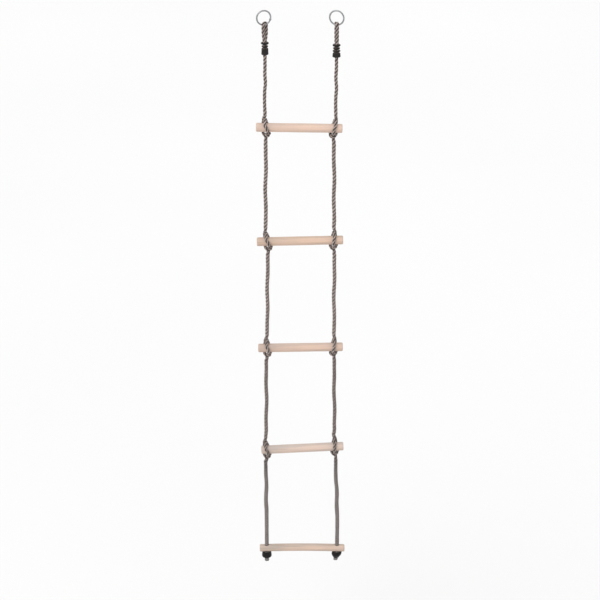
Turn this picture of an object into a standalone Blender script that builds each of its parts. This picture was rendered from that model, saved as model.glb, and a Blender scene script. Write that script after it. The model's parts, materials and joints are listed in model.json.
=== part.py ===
"""Hanging rope ladder: two steel rings, two twisted ropes and five wooden rungs.

Metres, +Z up. The ladder hangs straight down with its rungs along X, and -Y is its front. The
origin is the middle of its underside, level with the tips of the two rope ends. Every rope is cut
into pieces where it bends, and each piece that moves has its origin on the axis it turns about.
"""

import math

import bpy
from mathutils import Matrix, Vector

# ---------------------------------------------------------------- driving dimensions
OVERALL_HEIGHT = 2.100
RUNG_COUNT = 5
RUNG_SPACING = 0.410
RUNG_LENGTHS = (0.293, 0.299, 0.300, 0.298, 0.314)
RUNG_RADIUS = 0.0155
BOTTOM_RUNG_RADIUS = 0.0140
RUNG_EDGE_ROUND = 0.0022
# Hand-tied hitches are never quite even: how far each rung is above its even place, how far it
# leans, and how far it sits off centre.
RUNG_RISES = (-0.0018, -0.0039, -0.0011, 0.0066, 0.0)
RUNG_LEANS_DEG = (-0.8, 1.3, 0.9, 3.0, 0.0)
RUNG_SHIFTS = (-0.0034, -0.0007, 0.0010, 0.0079, 0.0072)
BOTTOM_RUNG_HOLE_RADIUS = 0.0062
RUNG_SIDES = 24
HOLE_SIDES = 20

ROPE_RADIUS = 0.00525
# How far out each rope comes to each rung and leaves it again, from the top one down.
ROPE_OUT_ABOVE = {
    "left": (0.1204, 0.1200, 0.1176, 0.1237, 0.1238),
    "right": (0.1202, 0.1178, 0.1202, 0.1230, 0.1363),
}
ROPE_OUT_BELOW = {
    "left": (0.1176, 0.1130, 0.1208, 0.1253, 0.1238),
    "right": (0.1143, 0.1186, 0.1212, 0.1292, 0.1363),
}
HITCH_REACH = 0.050
SQUEEZED_ROPE_RADIUS = 0.00445
STRAIGHT_END = 0.006
DOME_DEG = 75

RING_X = 0.121
RING_WIRE_RADIUS = 0.0026
RING_OUTER_RADIUS = 0.0268
RING_SIDES = 36
RING_WIRE_SIDES = 9

GAP = 0.0003
RUNNING_GAP = 0.0007

# Where the ropes bend, measured from the middle of a rung.
NECK_ABOVE_RUNG = 0.060
NECK_BELOW_RUNG = 0.066
BOTTOM_NECK_ABOVE_RUNG = 0.150
NECK_CLEARANCE = 0.0056
FOLD_CLEARANCE = 0.0206

# End caps under the bottom rung, measured down from the cap's top.
CAP_HEIGHT = 0.0260
CAP_TOP_RADIUS = 0.0155
CAP_WIDEST_RADIUS = 0.0175
CAP_FOOT_RADIUS = 0.0085
CAP_WALL = 0.0022
WEDGE_TOP = 0.0015
WEDGE_FOOT = 0.0205
ROPE_TIP_HEIGHT = 0.0111
ROPE_TIP_RADIUS = 0.0074
CAP_WIDEST_DEPTH = 0.52 * CAP_HEIGHT
ROPE_TIP_SHOULDER_DEPTH = 0.35 * ROPE_TIP_HEIGHT
EASED_EDGE = 0.0009
BOTTOM_DROP = BOTTOM_RUNG_RADIUS + GAP + CAP_HEIGHT + GAP + ROPE_TIP_HEIGHT

# Rope clamps under the rings, measured down from the clamp's top. The left eye hangs off centre.
CLAMP_OUT = {"left": 0.1178, "right": 0.1210}
CLAMP_DROPS = {"left": 0.1098, "right": 0.1168}
FLANGE_RADIUS = 0.0137
FLANGE_HEIGHT = 0.0085
RIB_RADIUS = 0.0121
RIB_HEIGHT = 0.0066
GROOVE_HEIGHT = 0.0026
GROOVE_RADIUS = 0.0108
CLAMP_BORE_RADIUS = 0.0094
STEM_HEIGHT = 0.0340
NUT_TOP = 0.0285
NUT_HEIGHT = 0.0165
NUT_RADIUS = 0.0138
NUT_BORE_RADIUS = 0.0112
NUT_FLOOR = 0.0036
NUT_CHAMFER = 0.0012
COLLET_HEIGHT = 0.0066
COLLET_CHAMFER = 0.0025
LEG_OFFSET = 0.0046
LEG_DEPTH = 0.0205
LEG_MERGE_DEPTH = 0.0335
SQUEEZE_END = 0.6
STRAIGHT_BELOW_CLAMP = 0.080

EYE_YAWS_DEG = {"left": 34.0, "right": -12.0}
EYE_SLACK = {"left": 0.0032, "right": 0.0020}
EYE_FULLNESS = 0.56

ROUND_STEPS = 20
BELL_STEPS = 5
TIP_STEPS = 4
MERGE_GAP = 0.00001
SIDES = {"left": -1, "right": 1}

RING_RADIUS = RING_OUTER_RADIUS - RING_WIRE_RADIUS
RING_CENTRE_Z = OVERALL_HEIGHT - RING_OUTER_RADIUS
SWING_Z = RING_CENTRE_Z - RING_RADIUS


def rung_z(number):
    """Height of the middle of a rung, where rung 1 is the top one."""
    return BOTTOM_DROP + (RUNG_COUNT - number) * RUNG_SPACING + RUNG_RISES[number - 1]


def neck_below_z(number):
    return rung_z(number) - NECK_BELOW_RUNG


def neck_above_z(number):
    if number == RUNG_COUNT:
        return rung_z(number) + BOTTOM_NECK_ABOVE_RUNG
    return rung_z(number) + NECK_ABOVE_RUNG


def fold_z(number):
    """Height of the fold in the span of rope under a rung, halfway between its two necks."""
    return (neck_below_z(number) + neck_above_z(number + 1)) / 2


def rope_x(side, number, up=HITCH_REACH):
    """Where a rope hangs at a height above or below the middle of a rung, slanting in its hitch."""
    above, below = ROPE_OUT_ABOVE[side][number - 1], ROPE_OUT_BELOW[side][number - 1]
    share = min(max((HITCH_REACH - up) / (2 * HITCH_REACH), 0.0), 1.0)
    return SIDES[side] * (above + (below - above) * share)


def clamp_x(side):
    return SIDES[side] * CLAMP_OUT[side]


def span_point(side, number, height):
    """A point on the rope's middle line in the span under a rung, which runs straight."""
    top, foot = neck_below_z(number), neck_above_z(number + 1)
    share = (top - height) / (top - foot)
    start, end = rope_x(side, number, -HITCH_REACH), rope_x(side, number + 1)
    return Vector((start + (end - start) * share, 0.0, height))


# ---------------------------------------------------------------- scene and materials
def clear_scene():
    for thing in list(bpy.data.objects):
        bpy.data.objects.remove(thing)


def new_collection(name):
    collection = bpy.data.collections.new(name)
    bpy.context.scene.collection.children.link(collection)
    return collection


def new_material(name, colour, roughness, metallic=0.0):
    material = bpy.data.materials.new(name)
    material.use_nodes = True
    shader = material.node_tree.nodes["Principled BSDF"]
    shader.inputs["Base Color"].default_value = (*colour, 1.0)
    shader.inputs["Roughness"].default_value = roughness
    shader.inputs["Metallic"].default_value = metallic
    return material


clear_scene()
LADDER = new_collection("rope_ladder")
CUTTERS = new_collection("cutters")
PINE = new_material("pine", (0.79, 0.59, 0.42), 0.65)
ROPE = new_material("rope", (0.20, 0.16, 0.13), 0.90)
STEEL = new_material("galvanised_steel", (0.66, 0.68, 0.70), 0.35, 1.0)
PLASTIC = new_material("black_plastic", (0.030, 0.028, 0.028), 0.45)
WEDGE_PLASTIC = new_material("grey_plastic", (0.16, 0.16, 0.16), 0.50)


# ---------------------------------------------------------------- shared building steps
def place(thing, name, material, collection=LADDER):
    """Name an object, give it a material and move it into the ladder's collection."""
    thing.name = name
    thing.data.name = name
    thing.data.materials.clear()
    thing.data.materials.append(material)
    for owner in list(thing.users_collection):
        owner.objects.unlink(thing)
    collection.objects.link(thing)
    return thing


def shade(thing, angle_deg=35):
    thing.data.shade_smooth()
    thing.data.set_sharp_from_angle(angle=math.radians(angle_deg))


def turned(name, material, profile, origin):
    """Spin a closed profile of (radius, height) corners about the vertical line through origin."""
    mesh = bpy.data.meshes.new(name)
    points = [(radius, 0.0, height) for radius, height in profile]
    loop = [(i, (i + 1) % len(points)) for i in range(len(points))]
    mesh.from_pydata(points, loop, [])
    thing = bpy.data.objects.new(name, mesh)
    bpy.context.scene.collection.objects.link(thing)
    thing.location = origin
    screw = thing.modifiers.new("spin", "SCREW")
    screw.steps = ROUND_STEPS
    screw.render_steps = ROUND_STEPS
    screw.use_merge_vertices = True
    screw.merge_threshold = MERGE_GAP
    return place(thing, name, material)


def rope_piece(name, points, radii, origin, roundness=2):
    """A rope as a poly curve through world points, with a radius for each one."""
    curve = bpy.data.curves.new(name, "CURVE")
    curve.dimensions = "3D"
    curve.bevel_depth = 1.0
    curve.bevel_resolution = roundness
    curve.use_fill_caps = True
    curve.twist_mode = "MINIMUM"
    spline = curve.splines.new("POLY")
    spline.points.add(len(points) - 1)
    for knot, point, radius in zip(spline.points, points, radii):
        knot.co = (*(Vector(point) - Vector(origin)), 1.0)
        knot.radius = radius
    thing = bpy.data.objects.new(name, curve)
    bpy.context.scene.collection.objects.link(thing)
    thing.location = origin
    return place(thing, name, ROPE)


def domed(points, at_start=True, at_end=True, steps=3):
    """Add round ends, each a half ball about the end point, and return the points with radii."""
    points = [Vector(p) for p in points]
    radii = [ROPE_RADIUS] * len(points)
    angles = [math.radians(DOME_DEG) * (i + 1) / steps for i in range(steps)]
    if at_end:
        tip, along = points[-1], (points[-1] - points[-2]).normalized()
        points += [tip + along * ROPE_RADIUS * math.sin(a) for a in angles]
        radii += [ROPE_RADIUS * math.cos(a) for a in angles]
    if at_start:
        tip, along = points[0], (points[0] - points[1]).normalized()
        points = [tip + along * ROPE_RADIUS * math.sin(a) for a in reversed(angles)] + points
        radii = [ROPE_RADIUS * math.cos(a) for a in reversed(angles)] + radii
    return points, radii


def smooth_path(corners, steps):
    """A centripetal Catmull-Rom curve through the corners."""
    corners = [Vector(c) for c in corners]
    line = [2 * corners[0] - corners[1], *corners, 2 * corners[-1] - corners[-2]]
    path = []
    for i in range(1, len(line) - 2):
        p = line[i - 1 : i + 3]
        t = [0.0]
        for a, b in zip(p, p[1:]):
            t.append(t[-1] + math.sqrt((b - a).length))
        for step in range(steps):
            u = t[1] + (t[2] - t[1]) * step / steps
            a = [p[k].lerp(p[k + 1], (u - t[k]) / (t[k + 1] - t[k])) for k in range(3)]
            b = [a[k].lerp(a[k + 1], (u - t[k]) / (t[k + 2] - t[k])) for k in range(2)]
            path.append(b[0].lerp(b[1], (u - t[1]) / (t[2] - t[1])))
    return path + [corners[-1]]


# ---------------------------------------------------------------- rings
def make_ring(side):
    """A welded ring that faces the front. A flat of its inside faces straight down at the top."""
    bpy.ops.mesh.primitive_torus_add(
        major_radius=RING_RADIUS,
        minor_radius=RING_WIRE_RADIUS,
        major_segments=RING_SIDES,
        minor_segments=RING_WIRE_SIDES,
        location=(SIDES[side] * RING_X, 0.0, RING_CENTRE_Z),
        rotation=(math.radians(90), math.radians(90 + 180 / RING_SIDES), 0.0),
    )
    ring = place(bpy.context.object, f"ring_{side}", STEEL)
    shade(ring, 60)


# ---------------------------------------------------------------- top ropes, with their eyes
def eye_points(side):
    """Corner points of the eye, from the long leg inside the clamp round to the short leg."""
    yaw = math.radians(EYE_YAWS_DEG[side])
    across = Vector((math.sin(yaw), math.cos(yaw), 0.0))
    wire = Vector((clamp_x(side), 0.0, SWING_Z))
    reach = RING_WIRE_RADIUS + SQUEEZED_ROPE_RADIUS + EYE_SLACK[side]
    radius = reach / math.cos(yaw)
    centre = wire + Vector((0.0, 0.0, reach - radius))
    clamp_top = OVERALL_HEIGHT - CLAMP_DROPS[side]
    mouth = Vector((wire.x, 0.0, clamp_top))
    arc = []
    for i in range(9):
        angle = math.pi * i / 8
        arc.append(centre + across * radius * math.cos(angle) + Vector((0, 0, radius * math.sin(angle))))
    drop = Vector((0.0, 0.0, -1.0))
    long_leg = [mouth + drop * LEG_MERGE_DEPTH]
    long_leg.append(mouth + across * LEG_OFFSET + drop * LEG_DEPTH)
    long_leg.append(mouth + across * LEG_OFFSET)
    halfway = mouth.lerp(centre, 0.5)
    spread = across * (LEG_OFFSET + radius) * EYE_FULLNESS
    long_leg.append(halfway + spread)
    short_leg = [halfway - spread]
    short_leg.append(mouth - across * LEG_OFFSET)
    short_leg.append(mouth - across * LEG_OFFSET + drop * LEG_DEPTH)
    return long_leg, arc, short_leg


def make_top_rope(side):
    """From just above the first rung up through the clamp, round the ring and back into it."""
    long_leg, arc, short_leg = eye_points(side)
    foot = Vector((rope_x(side, 1), 0.0, neck_above_z(1) + NECK_CLEARANCE))
    entry = long_leg[0]
    bend = entry - Vector((0.0, 0.0, STRAIGHT_BELOW_CLAMP))
    straight = Vector((0.0, 0.0, STRAIGHT_END))
    eye = smooth_path([entry - straight] + long_leg + arc + short_leg, 2)
    points = [foot, foot + straight, bend] + eye
    radii = [ROPE_RADIUS] * 3
    for point in eye:
        depth = (long_leg[2].z - point.z) / LEG_MERGE_DEPTH
        ease = min(max((depth - SQUEEZE_END) / (1 - SQUEEZE_END), 0.0), 1.0)
        radii.append(SQUEEZED_ROPE_RADIUS + (ROPE_RADIUS - SQUEEZED_ROPE_RADIUS) * ease)
    rope_piece(f"top_rope_{side}", points, radii, (clamp_x(side), 0.0, SWING_Z))


# ---------------------------------------------------------------- clamps under the rings
def clamp_profile():
    """Flange, two grip ribs and a plain stem that stands for the threaded one."""
    corners = [(CLAMP_BORE_RADIUS, 0.0), (FLANGE_RADIUS, 0.0), (FLANGE_RADIUS, -FLANGE_HEIGHT)]
    height = -FLANGE_HEIGHT
    for _ in range(2):
        corners.append((GROOVE_RADIUS, height))
        height -= GROOVE_HEIGHT
        corners.append((GROOVE_RADIUS, height))
        corners.append((RIB_RADIUS, height))
        height -= RIB_HEIGHT
        corners.append((RIB_RADIUS, height))
    corners.append((GROOVE_RADIUS, height))
    corners.append((GROOVE_RADIUS, -STEM_HEIGHT))
    corners.append((CLAMP_BORE_RADIUS, -STEM_HEIGHT))
    return corners


def nut_profile():
    """A cup with a hole in its floor, chamfered outside, with its top at height 0."""
    hole = ROPE_RADIUS + RUNNING_GAP
    return [
        (NUT_BORE_RADIUS, 0.0),
        (NUT_RADIUS - NUT_CHAMFER, 0.0),
        (NUT_RADIUS, -NUT_CHAMFER),
        (NUT_RADIUS, NUT_CHAMFER - NUT_HEIGHT),
        (NUT_RADIUS - NUT_CHAMFER, -NUT_HEIGHT),
        (hole, -NUT_HEIGHT),
        (hole, NUT_FLOOR - NUT_HEIGHT),
        (NUT_BORE_RADIUS, NUT_FLOOR - NUT_HEIGHT),
    ]


def collet_profile():
    """A ring that rests on the nut's floor round the single rope, narrower at its top."""
    bore = ROPE_RADIUS + RUNNING_GAP
    outside = NUT_BORE_RADIUS - GAP
    return [
        (bore, COLLET_HEIGHT),
        (outside - COLLET_CHAMFER, COLLET_HEIGHT),
        (outside, COLLET_HEIGHT / 2),
        (outside, 0.0),
        (bore, 0.0),
    ]


def make_clamp(side):
    top = Vector((clamp_x(side), 0.0, OVERALL_HEIGHT - CLAMP_DROPS[side]))
    nut_top = top - Vector((0.0, 0.0, NUT_TOP))
    collet_foot = nut_top - Vector((0.0, 0.0, NUT_HEIGHT - NUT_FLOOR - GAP))
    turned(f"clamp_body_{side}", PLASTIC, clamp_profile(), top)
    turned(f"clamp_nut_{side}", PLASTIC, nut_profile(), nut_top)
    turned(f"clamp_collet_{side}", WEDGE_PLASTIC, collet_profile(), collet_foot)


# ---------------------------------------------------------------- rungs
def make_rung(number):
    """A round wooden bar with eased edges, leaning a little as it hangs."""
    radius = BOTTOM_RUNG_RADIUS if number == RUNG_COUNT else RUNG_RADIUS
    bpy.ops.mesh.primitive_cylinder_add(
        vertices=RUNG_SIDES,
        radius=radius,
        depth=RUNG_LENGTHS[number - 1],
        location=(RUNG_SHIFTS[number - 1], 0.0, rung_z(number)),
        rotation=(0.0, math.radians(90 - RUNG_LEANS_DEG[number - 1]), 0.0),
    )
    rung = place(bpy.context.object, f"rung_{number}", PINE)
    edges = rung.modifiers.new("eased_edges", "BEVEL")
    edges.width = RUNG_EDGE_ROUND
    edges.segments = 2
    edges.limit_method = "ANGLE"
    edges.angle_limit = math.radians(60)
    shade(rung)
    return rung


def drill_bottom_rung(rung):
    """Two upright holes that the ropes run through."""
    for side in SIDES:
        bpy.ops.mesh.primitive_cylinder_add(
            vertices=HOLE_SIDES,
            radius=BOTTOM_RUNG_HOLE_RADIUS,
            depth=4 * BOTTOM_RUNG_RADIUS,
            location=(rope_x(side, RUNG_COUNT), 0.0, rung_z(RUNG_COUNT)),
        )
        cutter = place(bpy.context.object, f"hole_{side}", PINE, CUTTERS)
        cutter.hide_render = True
        cutter.display_type = "WIRE"
        hole = rung.modifiers.new(f"hole_{side}", "BOOLEAN")
        hole.operation = "DIFFERENCE"
        hole.object = cutter


# ---------------------------------------------------------------- hitches round the rungs
# One rope's way round a rung, in the left rope's frame: +X inwards, -Y front, from the rung's middle.
# Down behind the rung on the outer side, forward under it as an arch, up behind on the inner side,
# over the top and down across the front, then through behind the arch.
HITCH_TURNS = (
    (-0.0020, 0.0010, 0.0500),
    (-0.0062, 0.0060, 0.0385),
    (-0.0098, 0.0150, 0.0240),
    (-0.0104, 0.0213, 0.0090),
    (-0.0104, 0.0213, -0.0050),
    (-0.0116, 0.0176, -0.0176),
    (-0.0126, 0.0060, -0.0276),
    (-0.0108, -0.0064, -0.0348),
    (0.0000, -0.0124, -0.0384),
    (0.0110, -0.0062, -0.0352),
    (0.0130, 0.0060, -0.0278),
    (0.0116, 0.0176, -0.0176),
    (0.0086, 0.0214, -0.0040),
    (0.0042, 0.0214, 0.0085),
    (0.0022, 0.0180, 0.0220),
    (0.0036, 0.0094, 0.0326),
    (0.0044, -0.0015, 0.0344),
    (0.0030, -0.0128, 0.0260),
    (0.0026, -0.0204, 0.0115),
    (0.0048, -0.0214, -0.0020),
    (0.0072, -0.0188, -0.0130),
    (0.0054, -0.0106, -0.0216),
    (0.0016, -0.0030, -0.0276),
    (0.0000, 0.0012, -0.0370),
)


def hitch_path(number, side):
    """The hitch's path in the world, leaning with its rung but straight where it leaves it."""
    lean = Matrix.Rotation(math.radians(-RUNG_LEANS_DEG[number - 1]), 3, "Y")
    middle = Vector((RUNG_SHIFTS[number - 1], 0.0, rung_z(number)))
    turns = []
    for inwards, back, up in HITCH_TURNS:
        across = rope_x(side, number, up) - SIDES[side] * inwards - middle.x
        turns.append(middle + lean @ Vector((across, back, up)))
    top = Vector((rope_x(side, number), 0.0, neck_above_z(number)))
    foot = Vector((rope_x(side, number, -HITCH_REACH), 0.0, neck_below_z(number)))
    before_foot = foot + Vector((0.0, 0.0, STRAIGHT_END))
    return [top] + smooth_path([top, *turns, before_foot], 2)[1:] + [foot]


def make_hitch(number, side):
    points, radii = domed(hitch_path(number, side))
    origin = (rope_x(side, number), 0.0, neck_above_z(number))
    rope_piece(f"hitch_{number}_{side}", points, radii, origin, roundness=1)


# ---------------------------------------------------------------- spans of rope between rungs
def make_span(number, side):
    """The rope under a rung: two straight halves and the short length that bends between them."""
    neck = neck_below_z(number)
    fold = fold_z(number)
    next_neck = neck_above_z(number + 1)
    bend = FOLD_CLEARANCE - GAP
    pieces = (
        ("upper", neck - NECK_CLEARANCE, fold + FOLD_CLEARANCE, neck),
        ("bend", fold + bend, fold - bend, fold),
        ("lower", fold - FOLD_CLEARANCE, next_neck + NECK_CLEARANCE, fold),
    )
    for part, top, foot, turning_height in pieces:
        points = [span_point(side, number, top), span_point(side, number, foot)]
        origin = span_point(side, number, turning_height)
        rope_piece(f"span_{number}_{part}_{side}", points, [ROPE_RADIUS] * 2, origin)


# ---------------------------------------------------------------- rope ends under the bottom rung
def cap_top_z():
    return rung_z(RUNG_COUNT) - BOTTOM_RUNG_RADIUS - GAP


def cap_bore(depth):
    """Radius of the end cap's tapered inside at a depth below its top."""
    mouth = CAP_TOP_RADIUS - CAP_WALL
    throat = ROPE_RADIUS + 2 * RUNNING_GAP
    share = min(depth / (WEDGE_FOOT + WEDGE_TOP), 1.0)
    return mouth + (throat - mouth) * share


def cap_profile():
    """A bell that swells to its widest below the middle and closes to a small foot."""
    corners = [(cap_bore(0.0), 0.0), (CAP_TOP_RADIUS - EASED_EDGE, 0.0), (CAP_TOP_RADIUS, -EASED_EDGE)]
    corners.append((CAP_WIDEST_RADIUS, -CAP_WIDEST_DEPTH))
    for i in range(1, BELL_STEPS + 1):
        angle = math.pi / 2 * i / BELL_STEPS
        radius = CAP_FOOT_RADIUS + (CAP_WIDEST_RADIUS - CAP_FOOT_RADIUS) * math.cos(angle)
        corners.append((radius, -CAP_WIDEST_DEPTH - (CAP_HEIGHT - CAP_WIDEST_DEPTH) * math.sin(angle)))
    corners.append((cap_bore(CAP_HEIGHT), -CAP_HEIGHT))
    corners.append((cap_bore(CAP_HEIGHT), -WEDGE_FOOT - WEDGE_TOP))
    return corners


def wedge_profile():
    """A tapered sleeve between the rope and the inside of the end cap."""
    bore = ROPE_RADIUS + GAP
    return [
        (bore, -WEDGE_TOP),
        (cap_bore(WEDGE_TOP) - GAP, -WEDGE_TOP),
        (cap_bore(WEDGE_FOOT) - GAP, -WEDGE_FOOT),
        (bore, -WEDGE_FOOT),
    ]


def tip_profile():
    """The rope's sealed end, spread wider than the rope and rounded underneath."""
    corners = [(0.0, 0.0), (ROPE_TIP_RADIUS - EASED_EDGE, 0.0), (ROPE_TIP_RADIUS, -EASED_EDGE)]
    start = ROPE_TIP_SHOULDER_DEPTH
    for i in range(TIP_STEPS + 1):
        angle = math.pi / 2 * i / TIP_STEPS
        radius = ROPE_TIP_RADIUS * math.cos(angle)
        corners.append((radius, -start - (ROPE_TIP_HEIGHT - start) * math.sin(angle)))
    corners[-1] = (0.0, -ROPE_TIP_HEIGHT)
    return corners


def make_rope_end(side):
    """The rope's straight tail through the bottom rung, and the cap and wedge that hold it."""
    cap_top = cap_top_z()
    tip_top = cap_top - CAP_HEIGHT - GAP
    x = rope_x(side, RUNG_COUNT)
    neck = neck_above_z(RUNG_COUNT)
    line = [(x, 0.0, neck), (x, 0.0, neck - STRAIGHT_END), (x, 0.0, tip_top + GAP)]
    points, radii = domed(line, at_end=False)
    rope_piece(f"tail_rope_{side}", points, radii, (x, 0.0, neck))
    turned(f"end_cap_{side}", PLASTIC, cap_profile(), (x, 0.0, cap_top))
    turned(f"grip_wedge_{side}", WEDGE_PLASTIC, wedge_profile(), (x, 0.0, cap_top))
    turned(f"rope_tip_{side}", ROPE, tip_profile(), (x, 0.0, tip_top))


# ---------------------------------------------------------------- the whole ladder
def make_ladder():
    for side in SIDES:
        make_ring(side)
        make_top_rope(side)
        make_clamp(side)
        for number in range(1, RUNG_COUNT):
            make_hitch(number, side)
            make_span(number, side)
        make_rope_end(side)
    rungs = [make_rung(number) for number in range(1, RUNG_COUNT + 1)]
    drill_bottom_rung(rungs[-1])


make_ladder()
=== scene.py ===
import json
import math

import bpy
import numpy as np
from mathutils import Matrix, Vector


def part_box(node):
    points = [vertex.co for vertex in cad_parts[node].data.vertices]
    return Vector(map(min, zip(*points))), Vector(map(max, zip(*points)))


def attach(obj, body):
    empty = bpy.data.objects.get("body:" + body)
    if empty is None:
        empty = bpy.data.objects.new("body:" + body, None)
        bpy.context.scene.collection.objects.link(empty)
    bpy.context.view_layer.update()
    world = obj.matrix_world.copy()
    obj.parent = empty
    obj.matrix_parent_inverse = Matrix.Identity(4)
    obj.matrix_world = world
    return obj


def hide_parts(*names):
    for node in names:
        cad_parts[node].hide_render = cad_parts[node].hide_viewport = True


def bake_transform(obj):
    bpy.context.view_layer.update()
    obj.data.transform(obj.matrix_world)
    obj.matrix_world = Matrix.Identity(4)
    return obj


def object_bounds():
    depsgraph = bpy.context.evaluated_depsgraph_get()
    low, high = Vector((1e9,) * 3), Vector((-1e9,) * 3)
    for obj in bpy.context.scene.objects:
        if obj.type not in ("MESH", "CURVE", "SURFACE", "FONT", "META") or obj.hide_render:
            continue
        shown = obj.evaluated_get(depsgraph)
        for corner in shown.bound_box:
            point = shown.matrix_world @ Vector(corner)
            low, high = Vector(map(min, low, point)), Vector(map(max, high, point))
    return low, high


# The looks of a hanging rope ladder. Lengths are in metres, in the CAD's own frame: +Z up along the
# hanging ropes, X along the rungs, -Y the front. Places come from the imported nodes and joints.

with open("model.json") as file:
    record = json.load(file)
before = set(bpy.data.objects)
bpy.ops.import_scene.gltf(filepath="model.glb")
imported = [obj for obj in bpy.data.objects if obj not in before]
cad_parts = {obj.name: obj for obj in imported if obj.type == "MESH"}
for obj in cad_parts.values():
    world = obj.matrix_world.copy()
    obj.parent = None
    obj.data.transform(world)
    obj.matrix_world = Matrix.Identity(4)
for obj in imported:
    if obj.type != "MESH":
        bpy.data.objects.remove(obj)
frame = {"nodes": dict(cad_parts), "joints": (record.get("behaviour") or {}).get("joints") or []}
CAD_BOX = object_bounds()
JOINTS = {joint["name"]: joint for joint in frame["joints"]}
SIDES = {"left": -1, "right": 1}
RUNG_COUNT = 5

# ---------------- driving dimensions
# Rope radii: round the ring, squeezed in the clamp, above the first rung, in a hitch, between rungs,
# in the lowest span, where the bottom rung slides, and below that rung.
EYE_ROPE_RADIUS = 0.0054
CLAMPED_ROPE_RADIUS = 0.0052
TOP_ROPE_RADIUS = 0.0062
HITCH_ROPE_RADIUS = 0.0058
SPAN_ROPE_RADIUS = 0.0071
LOWEST_ROPE_RADIUS = 0.0082
SLIDE_ROPE_RADIUS = 0.0076
TAIL_ROPE_RADIUS = 0.007
# The lengths over which one of those radii fades into the next.
TOP_FADE = 0.05
LOWEST_FADE = 0.25
HITCH_FADE = 0.015
SLIDE_FADE = 0.03
TAIL_FADE = 0.01
EYE_FADE = 0.01
CLAMP_FADES = (0.008, 0.01)
# Slow unevenness of the rope: share of its radius, radians per metre and a starting angle.
UNEVENNESS = ((0.018, 95.0, 0.0), (0.012, 233.0, 1.0))

STRANDS = 3
STRAND_YARNS = 6
STRAND_SIDES = 18
ROPE_STEP = 0.0014
# The length of one turn of the strands, in general and in the lowest span, and of the change.
ROPE_LAY = 0.041
LOWEST_LAY = 0.023
LAY_CHANGE = 0.06
# A strand's distance out, half width and half depth as shares of the rope's radius.
STRAND_PLACE = 0.515
STRAND_WIDTH = 0.5
STRAND_DEPTH = 0.485
# The ridges of the yarns: share of the strand's size, and radians they turn per metre of rope.
YARN_RIDGE = 0.045
YARN_TURN = 250.0
UV_PER_METRE = 10

# The eyes on the rings: how they and their mouths are turned as seen from above, how far the load
# spreads and flattens them, and how much they bulge between mouth and ring.
EYE_YAWS_DEG = {"left": 30.0, "right": -12.0}
MOUTH_YAWS_DEG = {"left": 16.0, "right": -18.0}
EYE_SPREADS = {"left": 1.05, "right": 1.35}
EYE_PRESSES = {"left": 0.88, "right": 0.78}
EYE_PRESS_REACH = 0.008
EYE_SLACK = 0.0002
EYE_FULLNESS = 0.62
EYE_ARC_STEPS = 8
# The eye's legs in the clamp: half their distance, where the short one ends and where the long one
# is in the middle. Then how far the rope runs straight on.
LEG_OFFSET = 0.0047
LEG_DEPTH = 0.0205
LEG_MERGE_DEPTH = 0.0335
LEG_STRAIGHT = 0.012
CLAMP_LEAD = 0.05

# Half the height that a hitch takes up, and the share of the rope's radius left between its middle
# and the wood where it is pulled tight.
HITCH_REACH = 0.05
HITCH_PRESS = 0.93
# Half the length over which a rope bends at a neck and at a fold, and the straight rope at a neck.
NECK_BLEND = 0.024
FOLD_BLEND = 0.046
NECK_STRAIGHT = 0.012
# Free rope wanders: how far, waves per span, distance of its corners, and each wave's start.
WAVE_SIZE = 0.0017
WAVE_COUNT = 1.5
WAVE_CORNERS = 0.028
WAVE_STARTS = {"left": 0.9, "right": 2.6}
WAVE_SHIFT = 1.7

BOTTOM_RUNG_BOW = 0.003
RUNG_END_EASE = 0.005
HOLE_RADIUS = 0.0083
HOLE_MOUTH_RADIUS = 0.0094
# Straight rope above the bottom rung, for the rung to slide along.
SLIDE_LENGTH = 0.122
# The right cap hangs askew: how far it slides sideways per metre down.
CAP_SHEARS = {"left": 0.0, "right": -0.15}
TIP_WIDENING = 1.1
TIP_STRETCHES = {"left": 1.3, "right": 0.95}

# The clamp's necks are deep, for the rope's two legs lie one behind the other inside.
NECK_DEPTH = 0.0105
# The ring's wire is round and a little thicker than its faceted solid.
WIRE_FULLNESS = 1.015
# How much of the end of a rope or rung is read to find where it is.
ROPE_END_SLICE = 0.0005
RUNG_END_SLICE = 0.006


def joint_z(name):
    return JOINTS[name]["pos_m"][2]


def neck_above(number):
    return joint_z(f"bend_above_rung_{number}")


def neck_below(number):
    return joint_z(f"bend_below_rung_{number}")


def fold_height(number):
    return joint_z(f"fold_span_{number}")


def node_points(node):
    return np.array([v.co for v in frame["nodes"][node].data.vertices])


def end_x(node, top):
    """Where the upper or lower end of a rope's CAD node is, across the ladder."""
    points = node_points(node)
    heights = points[:, 2] if top else -points[:, 2]
    return float(points[heights > heights.max() - ROPE_END_SLICE, 0].mean())


def rope_x(side, number, up=HITCH_REACH):
    """How far across a rope hangs at a height above or below a rung, slanting inside its hitch."""
    above, below = HITCH_ENDS[side, number]
    share = min(max((HITCH_REACH - up) / (2 * HITCH_REACH), 0.0), 1.0)
    return above + (below - above) * share


def tail_x(side):
    return end_x(f"tail_rope_{side}", True)


def clamp_x(side):
    return node_middle(f"clamp_body_{side}").x


def node_middle(node):
    low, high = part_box(node)
    return (low + high) / 2


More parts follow.
